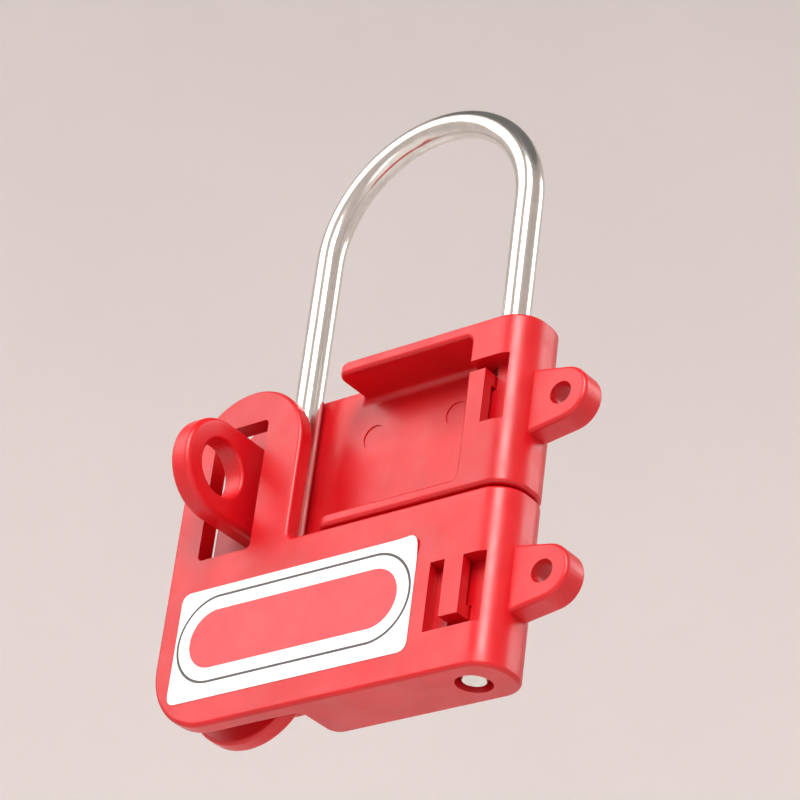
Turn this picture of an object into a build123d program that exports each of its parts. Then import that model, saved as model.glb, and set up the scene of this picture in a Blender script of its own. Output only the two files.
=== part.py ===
from build123d import *
import math
import os

"""Lockout hasp: a bent steel shackle and two moulded halves that swing about its hinge leg.

Frame: millimetres, +Z up, -Y to the front. The origin is the inner top of the bow, where the
hasp hangs. The two legs stand at X = +LEG_SPACING / 2 (hinge leg) and X = -LEG_SPACING / 2
(free leg). Both halves are one moulding. The upper one carries its panel at the back, and the
lower one is the same piece turned half a turn about X, so its panel is at the front. Each has a
padlock staple that passes through the slotted ear of the other.
"""

# --- Shackle ------------------------------------------------------------------------------
ROD_DIA = 6.0
LEG_SPACING = 53.0  # between the axes of the two legs
BARE_LEG = 32.5  # straight leg that shows between the bow and the halves
FREE_LEG_REACH = 26.0  # how far the free leg reaches below the seam
FREE_END_CHAMFER = 1.2
HINGE_END_CHAMFER = 0.6
GROOVE_DEPTH = 0.8  # ring grooves of the hinge leg, which the tongues catch
GROOVE_HEIGHT = 3.4

# --- Fits ---------------------------------------------------------------------------------
RUNNING_FIT = 0.08  # radial, between the hinge leg and the bore of each half
LEG_GAP = 0.5  # between the free leg and each panel
SEAM_GAP = 0.6  # between the two halves
CATCH_CLEARANCE = 0.35  # round a tongue's barb in its groove
SWING_CLEARANCE = 0.4  # between a staple's nose and the slot it swings through

# --- Body of a half -----------------------------------------------------------------------
HALF_HEIGHT = 38.5
PANEL_THICKNESS = 4.0
END_WALL = 5.8  # from the bore to the right-hand end
END_FLAT = 2.0  # left between the end's two rounded corners
BOSS_WALL = 1.5  # from the bore to the boss face in the recess
FLANGE_TO_FREE_LEG = 10.0  # from the free ends of the flange and the ledge to the free leg
FLANGE_THICKNESS = 3.0
LEDGE_THICKNESS = 2.8
FLANGE_CORNER = 3.0
RECESS_FILLET = 1.6
BOSS_FILLET = 8.0  # where the boss runs into the recess floor
LEG_END_RECESS = 0.6  # the hinge leg's end, up inside the lower half
COUNTERBORE_CLEARANCE = 0.8  # radial, round the hinge leg
COUNTERBORE_DEPTH = 3.0
RIM_EDGE = 0.9
EJECTOR_RADIUS = 2.8
EJECTOR_DEPTH = 0.25
EJECTOR_TO_HINGE = 15.4
EJECTOR_TO_FREE_END = 3.2  # of the flange
EJECTOR_TO_OUTER_END = 12.5

# --- Snap tongues, one in each face of the boss -------------------------------------------
TONGUE_WIDTH = 4.5
TONGUE_THICKNESS = 2.4
BORE_SLOT_WIDTH = 5.2  # the slot on the tongue's right
PANEL_SLOT_WIDTH = 3.5  # the slot on its left, in the panel's face
PANEL_SLOT_FLOOR = 1.0  # what the left slot leaves of the panel
WINDOW_HEIGHT = 15.0
WINDOW_TO_OUTER_END = 9.2
WINDOW_FLOOR = 0.8  # left over the hinge leg, beside and below the barb
TIP_GAP = 2.6

# --- Side ear -----------------------------------------------------------------------------
SIDE_HOLE_DIA = 5.0
SIDE_HOLE_REACH = 6.8  # from the right-hand end to the hole
SIDE_EAR_RIM = 3.5
SIDE_EAR_BASE = 15.0
SIDE_EAR_THICKNESS = 6.0
SIDE_EAR_EDGE = 0.9

# --- Padlock staple -----------------------------------------------------------------------
PADLOCK_HOLE_DIA = 12.0
PADLOCK_GAP = 1.2  # from the other half's ear to the padlock hole
STAPLE_RIM = 4.8
STAPLE_THICKNESS = 5.0
STAPLE_OFFSET = 10.0  # from the free leg to the middle of the staple
STAPLE_HEIGHT = 15.4  # above the seam
STAPLE_BASE = 21.0
STAPLE_EDGE = 1.2
PADLOCK_HOLE_EDGE = 0.8

# --- Slotted ear --------------------------------------------------------------------------
EAR_OUTER_RIM = 7.0  # on the slot's left
EAR_INNER_RIM = 9.6  # on its right
EAR_END_WALL = 8.0  # beyond the slot
EAR_ROOT_FILLET = 2.0
SLOT_SIDE_CLEARANCE = 3.9
SLOT_END_CLEARANCE = 4.5
SLOT_CORNER = 1.2

# --- Label --------------------------------------------------------------------------------
LABEL_THICKNESS = 0.25
LABEL_CORNER = 2.0
LABEL_TO_HINGE = 11.6  # from the hinge axis to its right-hand edge
LABEL_TO_FREE_END = 4.9  # from its left-hand edge to the panel's
LABEL_TO_SEAM = 7.4
LABEL_TO_OUTER_END = 6.0

# --- Derived places -----------------------------------------------------------------------
ROD_R = ROD_DIA / 2
GROOVE_R = ROD_R - GROOVE_DEPTH
BORE_R = ROD_R + RUNNING_FIT
PANEL_INNER = ROD_R + LEG_GAP
HALF_DEPTH = PANEL_INNER + PANEL_THICKNESS
END_REACH = BORE_R + END_WALL  # all reaches are from the hinge axis
END_RADIUS = HALF_DEPTH - END_FLAT / 2
BOSS_REACH = BORE_R + BOSS_WALL
FLANGE_REACH = LEG_SPACING - ROD_R - FLANGE_TO_FREE_LEG
BOW_R = LEG_SPACING / 2
BOW_Z = ROD_R - BOW_R
TOP_Z = BOW_Z - BARE_LEG
SEAM_Z = TOP_Z - HALF_HEIGHT - SEAM_GAP / 2
EJECTOR_X = (-EJECTOR_TO_HINGE, EJECTOR_TO_FREE_END - FLANGE_REACH)

HOLE_R = PADLOCK_HOLE_DIA / 2
NOSE_R = HOLE_R + STAPLE_RIM
HOLE_Y = -(HALF_DEPTH + PADLOCK_GAP + HOLE_R)
NOSE_Y = HOLE_Y - NOSE_R
STAPLE_X = -(LEG_SPACING + STAPLE_OFFSET)
STAPLE_OUTER = abs(STAPLE_X) + STAPLE_THICKNESS / 2
SLOT_LEFT = -(math.hypot(STAPLE_OUTER, NOSE_Y) + SWING_CLEARANCE)
SLOT_RIGHT = STAPLE_X + STAPLE_THICKNESS / 2 + SLOT_SIDE_CLEARANCE
SLOT_LENGTH = STAPLE_HEIGHT + STAPLE_BASE / 2 + SLOT_END_CLEARANCE
EAR_LEFT = SLOT_LEFT - EAR_OUTER_RIM
EAR_RIGHT = SLOT_RIGHT + EAR_INNER_RIM
EAR_R = (EAR_RIGHT - EAR_LEFT) / 2
EAR_REACH = SLOT_LENGTH + EAR_END_WALL  # beyond the seam

WINDOW_TOP = HALF_HEIGHT - WINDOW_TO_OUTER_END
WINDOW_BOTTOM = WINDOW_TOP - WINDOW_HEIGHT
TONGUE_TIP = WINDOW_TOP - TIP_GAP
BARB_HEIGHT = GROOVE_HEIGHT - 2 * CATCH_CLEARANCE
GROOVE_CENTRE = TONGUE_TIP - BARB_HEIGHT / 2  # above the seam
TONGUE_RIGHT = TONGUE_WIDTH - BOSS_REACH

LABEL_WIDTH = -EAR_LEFT - LABEL_TO_HINGE - LABEL_TO_FREE_END
LABEL_HEIGHT = HALF_HEIGHT - LABEL_TO_SEAM - LABEL_TO_OUTER_END


def span_box(x: tuple, y: tuple, z: tuple) -> Part:
    """A box given by its two limits along each axis."""
    centre = [(low + high) / 2 for low, high in (x, y, z)]
    return Pos(*centre) * Box(x[1] - x[0], y[1] - y[0], z[1] - z[0])


def edges_at(shape, axis: Axis = None, **place: float) -> list:
    """Edges of a shape centred at the given x, y or z, and along the axis if one is given."""
    edges = shape.edges().filter_by(axis) if axis else shape.edges()
    return [edge for edge in edges
            if all(abs(getattr(edge.center(), name.upper()) - value) < 0.01
                   for name, value in place.items())]


def shackle() -> Part:
    """The bent rod: hinge leg, bow and free leg, with the hinge leg's two catch grooves."""
    hinge_end = SEAM_Z - SEAM_GAP / 2 - HALF_HEIGHT + LEG_END_RECESS
    free_end = SEAM_Z - FREE_LEG_REACH
    rod = revolve(Plane.XY.offset(BOW_Z) * Pos(BOW_R, 0) * Circle(ROD_R),
                  Axis((0, 0, BOW_Z), (0, -1, 0)), 180)
    for x, end, chamfer_size in ((BOW_R, hinge_end, HINGE_END_CHAMFER),
                                 (-BOW_R, free_end, FREE_END_CHAMFER)):
        leg = Pos(x, 0, (BOW_Z + end) / 2) * Cylinder(ROD_R, BOW_Z - end)
        rod += chamfer(edges_at(leg, z=end), chamfer_size)
    for side in (1, -1):
        centre = SEAM_Z + side * (SEAM_GAP / 2 + GROOVE_CENTRE)
        ring = Cylinder(ROD_R + 1, GROOVE_HEIGHT) - Cylinder(GROOVE_R, GROOVE_HEIGHT)
        rod -= Pos(BOW_R, 0, centre) * ring
    return rod


def half_block() -> Part:
    """Panel, boss, flange, ledge and slotted ear as one block, with every outer rim rounded."""
    corners = [
        (EAR_LEFT, PANEL_INNER), (EAR_LEFT, HALF_DEPTH), (END_REACH, HALF_DEPTH),
        (END_REACH, -HALF_DEPTH), (-FLANGE_REACH, -HALF_DEPTH), (-FLANGE_REACH, PANEL_INNER),
    ]
    block = extrude(make_face(Polyline(*corners, close=True)), HALF_HEIGHT) + ear_plate()
    for x, y, radius in (
        (END_REACH, HALF_DEPTH, END_RADIUS), (END_REACH, -HALF_DEPTH, END_RADIUS),
        (-FLANGE_REACH, -HALF_DEPTH, FLANGE_CORNER), (-FLANGE_REACH, PANEL_INNER, RECESS_FILLET),
    ):
        block = fillet(edges_at(block, Axis.Z, x=x, y=y), radius)
    block = fillet(edges_at(block, Axis.Y, x=EAR_LEFT, z=HALF_HEIGHT), EAR_R)
    block = fillet(edges_at(block, Axis.Y, x=EAR_RIGHT, z=0), EAR_ROOT_FILLET)
    return fillet(edges_at(block, z=HALF_HEIGHT) + edges_at(block, z=0), RIM_EDGE)


def ear_plate() -> Part:
    """The round-ended plate that runs on from the panel past the seam."""
    straight = EAR_REACH - EAR_R
    shape = Pos(EAR_LEFT + EAR_R, -straight / 2) * Rectangle(2 * EAR_R, straight)
    shape += Pos(EAR_LEFT + EAR_R, -straight) * Circle(EAR_R)
    return extrude(Plane.XZ.offset(-HALF_DEPTH) * shape, PANEL_THICKNESS)


def ear_slot() -> Part:
    """What is cut from the ear to let the other half's staple through."""
    slot = span_box((SLOT_LEFT, SLOT_RIGHT), (0, 2 * HALF_DEPTH), (-SLOT_LENGTH, 0))
    return fillet(slot.edges().filter_by(Axis.Y), SLOT_CORNER)


def finger_recess() -> Part:
    """What is cut between the flange and the ledge; its deep corners are rounded."""
    mouth = -2 * HALF_DEPTH
    space = span_box((EAR_LEFT, -BOSS_REACH), (mouth, PANEL_INNER),
                     (LEDGE_THICKNESS, HALF_HEIGHT - FLANGE_THICKNESS))
    space = fillet(edges_at(space, Axis.Z, x=-BOSS_REACH, y=PANEL_INNER), BOSS_FILLET)
    deep = [edge for edge in space.edges()
            if edge.center().X > EAR_LEFT + 1 and mouth + 1 < edge.center().Y
            and abs(edge.center().Z - HALF_HEIGHT / 2) > 1]
    return fillet(deep, RECESS_FILLET)


def recess_mouth(block: Part):
    """Edges of the flange, ledge and boss where the finger recess opens."""
    return [edge for edge in block.edges()
            if abs(edge.center().Y + HALF_DEPTH) < 0.01
            and LEDGE_THICKNESS - 0.01 < edge.center().Z < HALF_HEIGHT - FLANGE_THICKNESS + 0.01
            and edge.center().X < -BOSS_REACH + 0.01]


def window_cut(side: int) -> Part:
    """What is cut from one face of the boss to leave its tongue; side is -1 in the recess face."""
    far = side * (HALF_DEPTH + 1)
    barb_foot = TONGUE_TIP - BARB_HEIGHT

    def depth(value: float) -> tuple:
        return tuple(sorted((far, side * value)))

    window = span_box((-BOSS_REACH, TONGUE_RIGHT + BORE_SLOT_WIDTH), depth(ROD_R + WINDOW_FLOOR),
                      (WINDOW_BOTTOM, WINDOW_TOP))
    window += span_box((-BOSS_REACH - PANEL_SLOT_WIDTH, -BOSS_REACH),
                       depth(PANEL_INNER + PANEL_SLOT_FLOOR), (WINDOW_BOTTOM, WINDOW_TOP))
    window += span_box((-BOSS_REACH, TONGUE_RIGHT + CATCH_CLEARANCE), depth(GROOVE_R),
                       (barb_foot - CATCH_CLEARANCE, WINDOW_TOP))
    tongue = span_box((-BOSS_REACH, TONGUE_RIGHT), depth(HALF_DEPTH - TONGUE_THICKNESS),
                      (WINDOW_BOTTOM - 1, TONGUE_TIP))
    barb = span_box((-BOSS_REACH, TONGUE_RIGHT), depth(GROOVE_R + CATCH_CLEARANCE),
                    (barb_foot, TONGUE_TIP))
    return window - tongue - barb


def side_ear() -> Part:
    """The tab on the right-hand end, with its hole."""
    middle = HALF_HEIGHT / 2
    tip = END_REACH + SIDE_HOLE_REACH
    root = Pos(END_REACH - END_RADIUS / 2, middle) * Rectangle(END_RADIUS / 2, SIDE_EAR_BASE)
    shape = make_hull((root + Pos(tip, middle) * Circle(SIDE_HOLE_DIA / 2 + SIDE_EAR_RIM)).edges())
    ear = extrude(Plane.XZ * shape, SIDE_EAR_THICKNESS / 2, both=True)
    ear = fillet(ear.edges().filter_by(Axis.Y, reverse=True), SIDE_EAR_EDGE)
    return ear - Pos(tip, 0, middle) * Rot(90, 0, 0) * Cylinder(SIDE_HOLE_DIA / 2, 2 * HALF_DEPTH)


def staple() -> Part:
    """The padlock loop: it starts in the panel and reaches out past the other half's ear."""
    foot = PANEL_INNER + PANEL_THICKNESS / 2
    root = Pos(foot, STAPLE_HEIGHT) * Rectangle(PANEL_THICKNESS / 2, STAPLE_BASE)
    shape = make_hull((root + Pos(HOLE_Y, STAPLE_HEIGHT) * Circle(NOSE_R)).edges())
    loop = extrude(Plane.YZ * shape, STAPLE_THICKNESS / 2, both=True)
    loop = fillet(loop.edges().filter_by(Axis.X, reverse=True), STAPLE_EDGE)
    loop -= Pos(0, HOLE_Y, STAPLE_HEIGHT) * Rot(0, 90, 0) * Cylinder(HOLE_R, 2 * STAPLE_THICKNESS)
    rims = loop.edges().filter_by(GeomType.CIRCLE).filter_by(lambda e: abs(e.radius - HOLE_R) < 0.01)
    return Pos(STAPLE_X, 0, 0) * fillet(rims, PADLOCK_HOLE_EDGE)


def half() -> Part:
    """One moulded half. The hinge axis is Z, the seam is at Z = 0 and the panel is at +Y."""
    body = half_block() - finger_recess()
    body = fillet(recess_mouth(body), RIM_EDGE) - ear_slot()
    body += side_ear() + staple()
    for side in (-1, 1):
        body -= window_cut(side)
    body -= Pos(0, 0, HALF_HEIGHT / 2) * Cylinder(BORE_R, 2 * HALF_HEIGHT)
    body -= Pos(0, 0, HALF_HEIGHT) * Cylinder(ROD_R + COUNTERBORE_CLEARANCE, 2 * COUNTERBORE_DEPTH)
    for x in EJECTOR_X:
        mark = Rot(90, 0, 0) * Cylinder(EJECTOR_RADIUS, 2 * EJECTOR_DEPTH)
        body -= Pos(x, PANEL_INNER, HALF_HEIGHT - EJECTOR_TO_OUTER_END) * mark
    return body


def label() -> Part:
    """The label on the lower half's front face, in the hasp's frame."""
    right = BOW_R - LABEL_TO_HINGE
    top = SEAM_Z - SEAM_GAP / 2 - LABEL_TO_SEAM
    sheet = RectangleRounded(LABEL_WIDTH, LABEL_HEIGHT, LABEL_CORNER)
    plate = extrude(Plane.XZ * sheet, LABEL_THICKNESS)
    return Pos(right - LABEL_WIDTH / 2, -HALF_DEPTH, top - LABEL_HEIGHT / 2) * plate


def main() -> None:
    """Build the four pieces and write one STEP file for each."""
    os.makedirs("parts", exist_ok=True)
    moulding = half()
    hinge = Pos(BOW_R, 0, SEAM_Z)
    pieces = {
        "shackle": shackle(),
        "upper_half": hinge * Pos(0, 0, SEAM_GAP / 2) * moulding,
        "lower_half": hinge * Pos(0, 0, -SEAM_GAP / 2) * Rot(180, 0, 0) * moulding,
        "label": label(),
    }
    for node, shape in pieces.items():
        export_step(shape, f"parts/{node}.step")


if __name__ == "__main__":
    main()
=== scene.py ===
"""Finishes, label, studio and camera for a lockout hasp.

The hasp is a bent steel shackle with two red moulded halves that swing about one of its legs. Its
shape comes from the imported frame. This script dresses the steel and the mouldings, makes the label,
and sets up the light and the camera. Lengths are metres, +Z is up and -Y is the front.
"""

import logging
import math
from dataclasses import dataclass, field
from enum import Enum
from typing import Any

import bmesh
import bpy
from mathutils import Matrix, Vector

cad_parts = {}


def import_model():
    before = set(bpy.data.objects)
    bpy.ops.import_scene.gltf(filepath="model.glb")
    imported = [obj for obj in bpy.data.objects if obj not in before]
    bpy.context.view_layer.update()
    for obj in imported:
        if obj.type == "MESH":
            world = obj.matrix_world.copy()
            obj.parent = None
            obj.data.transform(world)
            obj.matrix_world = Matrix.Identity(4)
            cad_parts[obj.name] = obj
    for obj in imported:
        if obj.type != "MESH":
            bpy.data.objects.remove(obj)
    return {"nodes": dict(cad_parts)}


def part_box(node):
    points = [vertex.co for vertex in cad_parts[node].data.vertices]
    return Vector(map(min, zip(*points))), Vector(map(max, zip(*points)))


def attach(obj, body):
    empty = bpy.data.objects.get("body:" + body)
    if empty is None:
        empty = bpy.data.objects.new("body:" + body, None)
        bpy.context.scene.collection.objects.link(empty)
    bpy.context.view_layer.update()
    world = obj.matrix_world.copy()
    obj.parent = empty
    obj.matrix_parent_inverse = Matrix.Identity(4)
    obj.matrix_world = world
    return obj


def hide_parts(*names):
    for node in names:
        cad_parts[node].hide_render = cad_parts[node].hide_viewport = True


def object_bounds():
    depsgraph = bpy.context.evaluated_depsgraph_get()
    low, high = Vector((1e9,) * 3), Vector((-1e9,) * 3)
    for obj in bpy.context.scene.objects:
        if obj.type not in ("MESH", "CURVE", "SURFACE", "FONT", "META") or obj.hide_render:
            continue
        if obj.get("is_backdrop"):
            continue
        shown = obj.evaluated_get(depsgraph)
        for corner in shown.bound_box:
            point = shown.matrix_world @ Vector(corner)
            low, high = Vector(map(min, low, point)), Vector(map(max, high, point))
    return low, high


MM = 0.001
LOG = logging.getLogger("hasp")

# The colour Mix node keeps its colour sockets behind its number and vector ones.
MIX_SHARE, MIX_LOW, MIX_HIGH, MIX_RESULT = 0, 6, 7, 2

# The part of a noise pattern's range that most of its values fall in.
NOISE_MIDDLE = (0.3, 0.7)
NOISE_ROUGHNESS = 0.55


class Body(Enum):
    """The rigid bodies of the hasp that new pieces ride on, by their names in the frame."""

    LOWER = "lower"


class Node(Enum):
    """The pieces of the hasp, by their names in the frame."""

    SHACKLE = "shackle"
    UPPER_HALF = "upper_half"
    LOWER_HALF = "lower_half"
    LABEL = "label"


class Slot(Enum):
    """The record's material slots that new pieces take their finish from."""

    LABEL_FILM = "label_film"


# --- Colour and nodes -----------------------------------------------------------------------


def linear(hex_code: str) -> tuple[float, float, float, float]:
    """Turn an sRGB hex colour into linear values.

    Args:
        hex_code: Six hex digits, such as "c4101c".

    Returns:
        Linear red, green and blue, and an alpha of 1.
    """
    channels = (int(hex_code[i:i + 2], 16) / 255 for i in (0, 2, 4))
    red, green, blue = (c / 12.92 if c <= 0.04045 else ((c + 0.055) / 1.055) ** 2.4
                        for c in channels)
    return red, green, blue, 1.0


def per_metre(millimetres: float) -> float:
    """Texture scale that makes one feature as wide as the given length in millimetres."""
    return 1 / (millimetres * MM)


def add_node(tree: bpy.types.NodeTree, kind: str, inputs: dict[Any, Any] | None = None,
             **settings: Any) -> bpy.types.Node:
    """Add a shader node, set it and link it.

    Args:
        tree: The node tree to add to.
        kind: The node's type, such as "ShaderNodeMath".
        inputs: A value or an output socket for each input that needs one, by name or number.
        **settings: The node's own properties.

    Returns:
        The new node.
    """
    node = tree.nodes.new(kind)
    for name, value in settings.items():
        setattr(node, name, value)
    for key, value in (inputs or {}).items():
        if isinstance(value, bpy.types.NodeSocket):
            tree.links.new(value, node.inputs[key])
        else:
            node.inputs[key].default_value = value
    return node


def new_material(name: str) -> bpy.types.Material:
    """Make a node material with no nodes yet.

    Args:
        name: The material's name.

    Returns:
        The material.
    """
    material = bpy.data.materials.new(name)
    material.use_nodes = True
    material.node_tree.nodes.clear()
    return material


def show_surface(tree: bpy.types.NodeTree, inputs: dict[str, Any]) -> None:
    """Put one Principled shader on the material's output.

    Args:
        tree: The node tree to add to.
        inputs: A value or an output socket for each of the shader's inputs that needs one.
    """
    shader = add_node(tree, "ShaderNodeBsdfPrincipled", inputs)
    add_node(tree, "ShaderNodeOutputMaterial", {"Surface": shader.outputs["BSDF"]})


def object_place(tree: bpy.types.NodeTree, stretch: tuple[float, float, float] = (1, 1, 1),
                 centre: Vector = Vector((0, 0, 0))) -> bpy.types.NodeSocket:
    """Object coordinates, moved so that a point is their origin, then stretched.

    Args:
        tree: The node tree to add to.
        stretch: The scale along each axis.
        centre: The point that becomes the origin.

    Returns:
        The socket with the coordinates.
    """
    coordinates = add_node(tree, "ShaderNodeTexCoord").outputs["Object"]
    moved = add_node(tree, "ShaderNodeMapping", {"Vector": coordinates, "Location": -centre})
    return add_node(tree, "ShaderNodeMapping",
                    {"Vector": moved.outputs["Vector"], "Scale": stretch}).outputs["Vector"]


def patches(tree: bpy.types.NodeTree, place: bpy.types.NodeSocket, width_mm: float,
            given: tuple[float, float], read: tuple[float, float] = NOISE_MIDDLE,
            detail: float = 3.0, roughness: float = NOISE_ROUGHNESS) -> bpy.types.NodeSocket:
    """Soft uneven patches of a real width, as a value that differs between them.

    Args:
        tree: The node tree to add to.
        place: The coordinates to read.
        width_mm: The width of one patch.
        given: The value outside the patches and the value inside them.
        read: The part of the noise that the patches' soft edges take up.
        detail: How many finer layers lie on the patches.
        roughness: How strong the finer layers are.

    Returns:
        The socket with the value.
    """
    pattern = add_node(tree, "ShaderNodeTexNoise", {
        "Vector": place, "Scale": per_metre(width_mm), "Detail": detail, "Roughness": roughness})
    return add_node(tree, "ShaderNodeMapRange", {
        "Value": pattern.outputs["Fac"], "From Min": read[0], "From Max": read[1],
        "To Min": given[0], "To Max": given[1],
    }, interpolation_type="SMOOTHSTEP").outputs["Result"]


def mottled(tree: bpy.types.NodeTree, place: bpy.types.NodeSocket, width_mm: float,
            tones: tuple[str, str], share: float = 1.0, **pattern: Any) -> bpy.types.NodeSocket:
    """An uneven colour: one tone with soft patches of another.

    Args:
        tree: The node tree to add to.
        place: The coordinates to read.
        width_mm: The width of one patch.
        tones: The sRGB hex codes of the ground and of the patches.
        share: How much of the second tone the patches take at most.
        **pattern: The other settings of the patches.

    Returns:
        The colour's socket.
    """
    ground, spots = (linear(tone) for tone in tones)
    amount = patches(tree, place, width_mm, (0, share), **pattern)
    return add_node(tree, "ShaderNodeMix", {MIX_SHARE: amount, MIX_LOW: ground, MIX_HIGH: spots},
                    data_type="RGBA").outputs[MIX_RESULT]


def relief(tree: bpy.types.NodeTree, place: bpy.types.NodeSocket, width_mm: float,
           depth_mm: float, strength: float, detail: float = 1.0,
           below: bpy.types.NodeSocket | None = None) -> bpy.types.NodeSocket:
    """Fine ups and downs of a real width and depth, on top of others if they are given.

    Args:
        tree: The node tree to add to.
        place: The coordinates to read.
        width_mm: The width of one bump.
        depth_mm: The height of one bump.
        strength: The share of the effect that shows.
        detail: How many finer layers lie on the bumps.
        below: The normal of the relief underneath.

    Returns:
        The new normal's socket.
    """
    pattern = add_node(tree, "ShaderNodeTexNoise", {
        "Vector": place, "Scale": per_metre(width_mm), "Detail": detail,
        "Roughness": NOISE_ROUGHNESS})
    inputs = {"Height": pattern.outputs["Fac"], "Distance": depth_mm * MM, "Strength": strength}
    if below:
        inputs["Normal"] = below
    return add_node(tree, "ShaderNodeBump", inputs).outputs["Normal"]


# --- Finishes -------------------------------------------------------------------------------


@dataclass(frozen=True)
class MouldedNylon:
    """Red injection-moulded nylon: bright and satin, from a fine spark-eroded mould.

    The mould gives a close grain that blurs reflections. Slow cooling leaves shallow waves in the
    flat walls, and handling leaves faint scuffs and a slightly uneven sheen. A little light goes
    into the plastic and softens its edges.
    """

    name: str
    deep: str = "bc040e"
    full: str = "ce0815"
    pigment_mm: float = 22.0
    ior: float = 1.53
    glow_depth: float = 1.2 * MM
    glow_share: float = 0.04
    glow_reach: tuple[float, float, float] = (1.0, 0.18, 0.12)
    roughness: tuple[float, float] = (0.30, 0.42)
    sheen_mm: float = 7.0
    sheen_detail: float = 5.0
    wave_mm: float = 16.0
    wave_depth_mm: float = 0.10
    wave_strength: float = 0.5
    grain_mm: float = 0.35
    grain_depth_mm: float = 0.012
    grain_strength: float = 0.6
    grain_detail: float = 2.0
    scuffed: str = "e4474c"
    scuff_mm: float = 0.5
    scuff_level: tuple[float, float] = (0.70, 0.76)
    scuff_share: float = 0.5
    scuff_roughness: float = 0.25
    scuff_lengths: tuple[tuple[float, float, float], ...] = ((0.05, 1, 1), (1, 1, 0.06))
    worn_mm: float = 18.0
    worn_level: tuple[float, float] = (0.5, 0.65)
    seed: float = 0.0

    def build(self) -> bpy.types.Material:
        """Make the material.

        Returns:
            The finished material.
        """
        material = new_material(self.name)
        tree = material.node_tree
        place = object_place(tree, centre=Vector((self.seed, 0, 0)))
        pigment = mottled(tree, place, self.pigment_mm, (self.deep, self.full))
        scuffs = self.scuffs(tree)
        colour = add_node(tree, "ShaderNodeMix", {
            MIX_SHARE: scuffs, MIX_LOW: pigment, MIX_HIGH: linear(self.scuffed)}, data_type="RGBA")
        sheen = patches(tree, place, self.sheen_mm, self.roughness, detail=self.sheen_detail)
        rough = add_node(tree, "ShaderNodeMath", {0: scuffs, 1: self.scuff_roughness, 2: sheen},
                         operation="MULTIPLY_ADD")
        waves = relief(tree, place, self.wave_mm, self.wave_depth_mm, self.wave_strength)
        grain = relief(tree, place, self.grain_mm, self.grain_depth_mm, self.grain_strength,
                       detail=self.grain_detail, below=waves)
        show_surface(tree, {
            "Base Color": colour.outputs[MIX_RESULT],
            "Roughness": rough.outputs["Value"], "Normal": grain, "IOR": self.ior,
            "Subsurface Weight": self.glow_share, "Subsurface Radius": self.glow_reach,
            "Subsurface Scale": self.glow_depth,
        })
        return material

    def scuffs(self, tree: bpy.types.NodeTree) -> bpy.types.NodeSocket:
        """Faint hairline scuffs in two directions, only in some places.

        Args:
            tree: The node tree to add to.

        Returns:
            The socket with the scuffs' strength, 0 where there is none.
        """
        across, along = (
            patches(tree, object_place(tree, stretch=stretch), self.scuff_mm,
                    (0, self.scuff_share), read=self.scuff_level, detail=1.0)
            for stretch in self.scuff_lengths)
        hairs = add_node(tree, "ShaderNodeMath", {0: across, 1: along}, operation="MAXIMUM")
        worn = patches(tree, object_place(tree), self.worn_mm, (0, 1), read=self.worn_level)
        return add_node(tree, "ShaderNodeMath", {0: hairs.outputs["Value"], 1: worn},
                        operation="MULTIPLY").outputs["Value"]


@dataclass(frozen=True)
class PolishedSteel:
    """Drawn and polished stainless steel: bright, softened by fine drawing lines and haze."""

    name: str = "polished_stainless_steel"
    bright: str = "d8d6d0"
    dull: str = "cdcbc5"
    dull_level: tuple[float, float] = (0.35, 0.65)
    roughness: tuple[float, float] = (0.16, 0.21)
    rough_level: tuple[float, float] = (0.3, 0.75)
    haze_mm: float = 3.0
    haze_detail: float = 6.0
    haze_roughness: float = 0.65
    line_mm: float = 0.22
    line_depth_mm: float = 0.003
    line_strength: float = 0.5
    line_detail: float = 2.0
    line_length: tuple[float, float, float] = (1, 1, 0.04)

    def build(self) -> bpy.types.Material:
        """Make the material.

        Returns:
            The finished material.
        """
        material = new_material(self.name)
        tree = material.node_tree
        place = object_place(tree)
        haze = {"detail": self.haze_detail, "roughness": self.haze_roughness}
        drawn = object_place(tree, stretch=self.line_length)
        show_surface(tree, {
            "Base Color": mottled(tree, place, self.haze_mm, (self.bright, self.dull),
                                  read=self.dull_level, **haze),
            "Metallic": 1.0,
            "Roughness": patches(tree, place, self.haze_mm, self.roughness,
                                 read=self.rough_level, **haze),
            "Normal": relief(tree, drawn, self.line_mm, self.line_depth_mm, self.line_strength,
                             detail=self.line_detail),
        })
        return material


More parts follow.
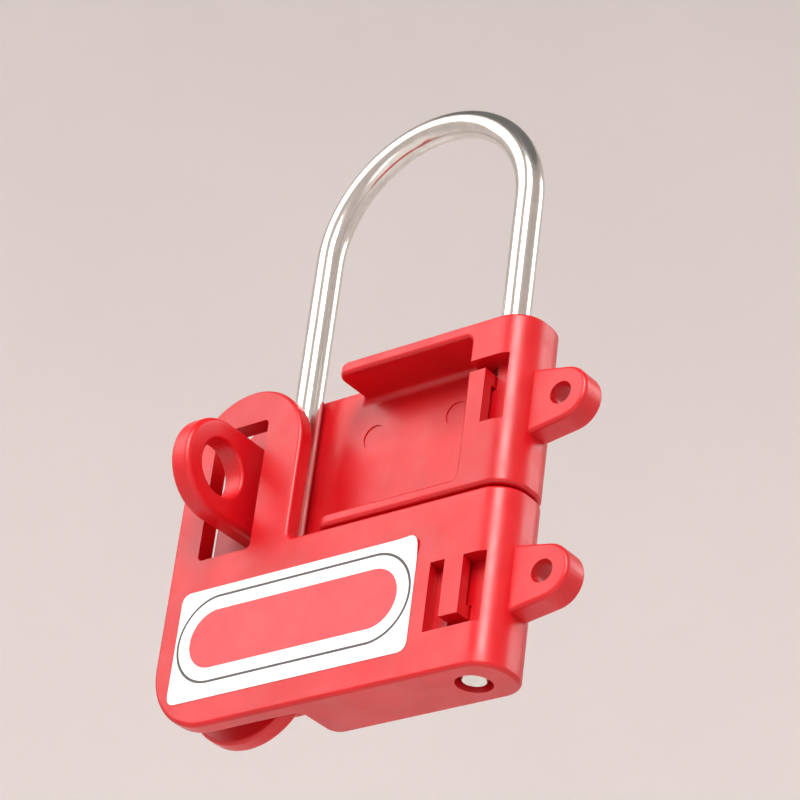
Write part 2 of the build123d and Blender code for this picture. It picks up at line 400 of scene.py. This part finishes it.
@dataclass(frozen=True)
class PrintedFilm:
    """Glossy vinyl label film, printed with a bare red field inside a white ring.

    The ring is a stadium: two straight sides joined by half circles. It has a thin dark outline.
    """

    centre: Vector
    half_width: float
    half_height: float
    name: str = "printed_vinyl_film"
    paper: str = "f0eeea"
    outline: str = "2a2426"
    ink: str = "c8101c"
    thin_ink: str = "d63a3f"
    thin_ink_share: float = 0.35
    ink_mm: float = 9.0
    stadium_height_mm: float = 19.9
    top_margin_mm: float = 1.9
    side_margin_mm: float = 0.5
    outline_mm: float = 0.6
    ring_mm: float = 2.8
    edge_mm: float = 0.05
    ior: float = 1.5
    roughness: tuple[float, float] = (0.16, 0.28)
    gloss_mm: float = 6.0
    gloss_detail: float = 4.0
    ripple_mm: float = 5.0
    ripple_depth_mm: float = 0.05
    ripple_strength: float = 0.4

    def build(self) -> bpy.types.Material:
        """Make the material.

        Returns:
            The finished material.
        """
        material = new_material(self.name)
        tree = material.node_tree
        place = object_place(tree)
        red = mottled(tree, place, self.ink_mm, (self.ink, self.thin_ink), self.thin_ink_share)
        show_surface(tree, {
            "Base Color": self.print_rings(tree, red),
            "Roughness": patches(tree, place, self.gloss_mm, self.roughness,
                                 detail=self.gloss_detail),
            "Normal": relief(tree, place, self.ripple_mm, self.ripple_depth_mm,
                             self.ripple_strength),
            "IOR": self.ior,
        })
        return material

    def print_rings(self, tree: bpy.types.NodeTree,
                    red: bpy.types.NodeSocket) -> bpy.types.NodeSocket:
        """Print the outline, the ring and the field over each other on the bare film.

        Args:
            tree: The node tree to add to.
            red: The colour of the field.

        Returns:
            The socket with the film's colour.
        """
        distance = self.stadium_distance(tree)
        edge = self.edge_mm * MM
        ring = -self.outline_mm * MM
        paper = colour = linear(self.paper)
        for limit, print_colour in ((0.0, linear(self.outline)), (ring, paper),
                                    (ring - self.ring_mm * MM, red)):
            inside = add_node(tree, "ShaderNodeMapRange", {
                "Value": distance, "From Min": limit - edge, "From Max": limit + edge,
                "To Min": 1, "To Max": 0,
            }, interpolation_type="SMOOTHSTEP")
            colour = add_node(tree, "ShaderNodeMix", {
                MIX_SHARE: inside.outputs["Result"], MIX_LOW: colour, MIX_HIGH: print_colour,
            }, data_type="RGBA").outputs[MIX_RESULT]
        return colour

    def stadium_distance(self, tree: bpy.types.NodeTree) -> bpy.types.NodeSocket:
        """Distance outside the stadium that the outline follows, negative inside it.

        Args:
            tree: The node tree to add to.

        Returns:
            The socket with the distance in metres.
        """
        radius = self.stadium_height_mm * MM / 2
        straight = self.half_width - self.side_margin_mm * MM - radius
        lift = self.half_height - self.top_margin_mm * MM - radius
        place = object_place(tree, centre=self.centre + Vector((0, 0, lift)))
        parts = add_node(tree, "ShaderNodeSeparateXYZ", {"Vector": place})
        along = parts.outputs["X"]
        for operation, other in (("ABSOLUTE", 0.0), ("SUBTRACT", straight), ("MAXIMUM", 0.0)):
            along = add_node(tree, "ShaderNodeMath", {0: along, 1: other},
                             operation=operation).outputs["Value"]
        past_end = add_node(tree, "ShaderNodeCombineXYZ", {"X": along, "Y": parts.outputs["Z"]})
        length = add_node(tree, "ShaderNodeVectorMath", {0: past_end.outputs["Vector"]},
                          operation="LENGTH")
        return add_node(tree, "ShaderNodeMath", {0: length.outputs["Value"], 1: radius},
                        operation="SUBTRACT").outputs["Value"]


@dataclass(frozen=True)
class StudioPaint:
    """Matt paint on the studio's wall and floor: no shine, and a faint even glow of its own."""

    name: str = "studio_paint"
    colour: str = "f2ecea"
    mottle: str = "d9d2d1"
    mottle_mm: float = 350.0
    mottle_share: float = 0.12
    roughness: float = 0.9
    glow: float = 0.13

    def build(self) -> bpy.types.Material:
        """Make the material.

        Returns:
            The finished material.
        """
        material = new_material(self.name)
        tree = material.node_tree
        show_surface(tree, {
            "Base Color": mottled(tree, object_place(tree), self.mottle_mm,
                                  (self.colour, self.mottle), self.mottle_share),
            "Roughness": self.roughness, "Emission Color": linear(self.colour),
            "Emission Strength": self.glow,
        })
        return material


# --- Pieces ---------------------------------------------------------------------------------


def mesh_object(name: str, mesh_data: bmesh.types.BMesh) -> bpy.types.Object:
    """Turn a bmesh into an object at the origin, with its place in its mesh.

    Args:
        name: The object's name.
        mesh_data: The bmesh, which is freed.

    Returns:
        The new object, in the scene.
    """
    mesh = bpy.data.meshes.new(name)
    mesh_data.to_mesh(mesh)
    mesh_data.free()
    piece = bpy.data.objects.new(name, mesh)
    bpy.context.scene.collection.objects.link(piece)
    return piece


def dress(piece: bpy.types.Object, material: bpy.types.Material) -> None:
    """Give every face of a piece one material.

    Args:
        piece: The object to dress.
        material: Its new material.
    """
    if not piece.material_slots:
        piece.data.materials.append(material)
    for slot in piece.material_slots:
        slot.material = material


@dataclass
class Mouldings:
    """The two red halves, which keep their shapes from the frame."""

    nodes: dict[str, bpy.types.Object]
    finishes: dict[Node, MouldedNylon] = field(default_factory=lambda: {
        Node.UPPER_HALF: MouldedNylon(name="moulded_nylon_upper"),
        Node.LOWER_HALF: MouldedNylon(name="moulded_nylon_lower", seed=0.37),
    })

    def build(self) -> None:
        """Dress both halves, each with a grain of its own."""
        for node, finish in self.finishes.items():
            dress(self.nodes[node.value], finish.build())
            LOG.info("dressed %s", node.value)


@dataclass
class Shackle:
    """The bent steel rod, which keeps its shape from the frame."""

    nodes: dict[str, bpy.types.Object]
    finish: PolishedSteel = PolishedSteel()

    def build(self) -> None:
        """Dress the rod."""
        dress(self.nodes[Node.SHACKLE.value], self.finish.build())
        LOG.info("dressed %s", Node.SHACKLE.value)


@dataclass
class Label:
    """The printed film on the lower half's front: thin, round-cornered, one corner just lifting."""

    low: Vector
    high: Vector
    corner: float = 2.0 * MM
    thickness: float = 0.14 * MM
    cell: float = 1.0 * MM
    lift: float = 0.7 * MM
    lift_reach: float = 7.0 * MM

    def build(self) -> None:
        """Model the film, dress it and hand it to the lower half."""
        piece = mesh_object("label_film", self.sheet())
        finish = PrintedFilm(centre=self.centre, half_width=self.half_width,
                             half_height=self.half_height)
        dress(piece, finish.build())
        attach(piece, Body.LOWER.value)
        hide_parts(Node.LABEL.value)
        LOG.info("built %s with %d faces", piece.name, len(piece.data.polygons))

    @property
    def centre(self) -> Vector:
        """Middle of the label's back face."""
        return Vector(((self.low.x + self.high.x) / 2, self.high.y,
                       (self.low.z + self.high.z) / 2))

    @property
    def half_width(self) -> float:
        """Half the label's width."""
        return (self.high.x - self.low.x) / 2

    @property
    def half_height(self) -> float:
        """Half the label's height."""
        return (self.high.z - self.low.z) / 2

    def sheet(self) -> bmesh.types.BMesh:
        """Make the film as a closed thin sheet that faces the front.

        Returns:
            The bmesh of the film in its place.
        """
        film = bmesh.new()
        bmesh.ops.create_grid(film, x_segments=round(2 * self.half_width / self.cell),
                              y_segments=round(2 * self.half_height / self.cell), size=1)
        bmesh.ops.scale(film, vec=(self.half_width, self.half_height, 1), verts=film.verts)
        self.round_corners(film)
        self.lift_corner(film)
        bmesh.ops.recalc_face_normals(film, faces=film.faces)
        bmesh.ops.solidify(film, geom=film.faces[:], thickness=self.thickness)
        upright = Matrix.Translation(self.centre) @ Matrix.Rotation(math.radians(90), 4, "X")
        bmesh.ops.transform(film, matrix=upright, verts=film.verts)
        bmesh.ops.translate(film, vec=(0, self.high.y - max(v.co.y for v in film.verts), 0),
                            verts=film.verts)
        bmesh.ops.recalc_face_normals(film, faces=film.faces)
        return film

    def round_corners(self, film: bmesh.types.BMesh) -> None:
        """Pull the points outside the corner arcs in onto them.

        Args:
            film: The flat sheet, centred on the origin.
        """
        inner = Vector((self.half_width - self.corner, self.half_height - self.corner))
        for vert in film.verts:
            past = Vector((abs(vert.co.x) - inner.x, abs(vert.co.y) - inner.y))
            if min(past) > 0 and past.length > self.corner:
                past = past.normalized() * self.corner
                vert.co.x = math.copysign(inner.x + past.x, vert.co.x)
                vert.co.y = math.copysign(inner.y + past.y, vert.co.y)

    def lift_corner(self, film: bmesh.types.BMesh) -> None:
        """Curl the top right-hand corner away from the moulding.

        Args:
            film: The flat sheet, centred on the origin.
        """
        tip = Vector((self.half_width, self.half_height))
        for vert in film.verts:
            near = 1 - (tip - vert.co.xy).length / self.lift_reach
            if near > 0:
                vert.co.z += self.lift * near ** 2


# --- Studio ---------------------------------------------------------------------------------


def bearing(azimuth: float, elevation: float) -> Vector:
    """Unit vector from the hasp towards a viewer.

    Args:
        azimuth: Degrees from the front (-Y) towards +X.
        elevation: Degrees above the horizontal.

    Returns:
        The unit vector.
    """
    turn, rise = math.radians(azimuth), math.radians(elevation)
    return Vector((math.sin(turn) * math.cos(rise), -math.cos(turn) * math.cos(rise),
                   math.sin(rise)))


@dataclass
class Softbox:
    """A white rectangular area light that faces the middle of the hasp."""

    name: str
    azimuth: float
    elevation: float
    distance: float
    size: tuple[float, float]
    power: float

    def build(self, target: Vector) -> None:
        """Add the light.

        Args:
            target: The point it faces.
        """
        light = bpy.data.lights.new(self.name, "AREA")
        light.shape = "RECTANGLE"
        light.size, light.size_y = self.size
        light.energy = self.power
        lamp = bpy.data.objects.new(self.name, light)
        lamp.location = target + self.distance * bearing(self.azimuth, self.elevation)
        lamp.rotation_euler = (target - lamp.location).to_track_quat("-Z", "Y").to_euler()
        lamp.visible_camera = False
        bpy.context.scene.collection.objects.link(lamp)


@dataclass
class Studio:
    """A round pale cove, softboxes and the camera."""

    target: Vector
    cove_radius: float = 2.6
    cove_bend: float = 0.9
    bend_steps: int = 12
    turn_steps: int = 96
    merge_distance: float = 1e-5
    floor_drop: float = 0.95
    wall_height: float = 5.0
    world_colour: str = "efeae8"
    world_strength: float = 0.25
    azimuth: float = 41.6
    elevation: float = -29.85
    roll: float = 7.6
    distance: float = 0.667
    lens: float = 147.0
    clip_start: float = 0.05
    lights: list[Softbox] = field(default_factory=lambda: [
        Softbox("key", 30, 32, 1.3, (0.45, 0.9), 18.0),
        Softbox("front_sheen", -40, 32, 1.4, (1.1, 0.9), 7.5),
        Softbox("side_sheen", 139, 32, 1.5, (0.7, 0.7), 5.0),
        Softbox("under_sheen", -139, -32, 1.3, (0.9, 0.6), 0.5),
        Softbox("low_front", 20, -50, 1.4, (0.9, 0.9), 4.0),
    ])

    def build(self) -> None:
        """Put up the cove, the lights, the world and the camera."""
        self.cove()
        for light in self.lights:
            light.build(self.target)
        self.world()
        self.camera()
        # The default view transform washes a strong red out, and this one keeps it.
        bpy.context.scene.view_settings.view_transform = "Standard"
        LOG.info("studio ready with %d lights", len(self.lights))

    def cove(self) -> None:
        """Turn the profile of floor, bend and wall about the vertical."""
        shell = bmesh.new()
        floor = self.target.z - self.floor_drop
        flat = self.cove_radius - self.cove_bend
        profile = [Vector((0, 0, floor)), Vector((flat, 0, floor))]
        for step in range(1, self.bend_steps + 1):
            angle = math.pi / 2 * step / self.bend_steps
            profile.append(Vector((flat + self.cove_bend * math.sin(angle), 0,
                                   floor + self.cove_bend * (1 - math.cos(angle)))))
        profile.append(Vector((self.cove_radius, 0, floor + self.wall_height)))
        verts = [shell.verts.new(point) for point in profile]
        edges = [shell.edges.new(pair) for pair in zip(verts, verts[1:])]
        bmesh.ops.spin(shell, geom=verts + edges, cent=(0, 0, 0), axis=(0, 0, 1),
                       angle=math.tau, steps=self.turn_steps, use_merge=True)
        bmesh.ops.remove_doubles(shell, verts=shell.verts, dist=self.merge_distance)
        for face in shell.faces:
            face.smooth = True
        cove = mesh_object("studio_cove", shell)
        dress(cove, StudioPaint().build())
        cove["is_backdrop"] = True

    def world(self) -> None:
        """Give the scene an even pale sky."""
        world = bpy.data.worlds.new("studio_sky")
        world.use_nodes = True
        background = world.node_tree.nodes["Background"]
        background.inputs["Color"].default_value = linear(self.world_colour)
        background.inputs["Strength"].default_value = self.world_strength
        bpy.context.scene.world = world

    def camera(self) -> None:
        """Place the camera: it looks up at the hasp from the right, tilted a little."""
        data = bpy.data.cameras.new("camera")
        data.lens = self.lens
        data.clip_start = self.clip_start
        camera = bpy.data.objects.new("camera", data)
        camera.location = self.target + self.distance * bearing(self.azimuth, self.elevation)
        look = (self.target - camera.location).to_track_quat("-Z", "Y").to_matrix().to_4x4()
        tilted = look @ Matrix.Rotation(math.radians(self.roll), 4, "Z")
        camera.rotation_euler = tilted.to_euler()
        bpy.context.scene.collection.objects.link(camera)
        bpy.context.scene.camera = camera


def plain(corners: Any) -> list[list[float]]:
    """A box's two corners as plain lists of numbers."""
    return [[float(value) for value in corner] for corner in corners]


def main() -> None:
    """Load the frame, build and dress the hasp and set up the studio."""
    logging.basicConfig(level=logging.INFO, format="%(name)s: %(message)s")
    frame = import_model()
    cad_box = plain(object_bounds())
    Shackle(frame["nodes"]).build()
    Mouldings(frame["nodes"]).build()
    Label(*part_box(Node.LABEL.value)).build()
    low, high = (Vector(corner) for corner in cad_box)
    Studio(target=(low + high) / 2).build()


if __name__ == "__main__":
    main()
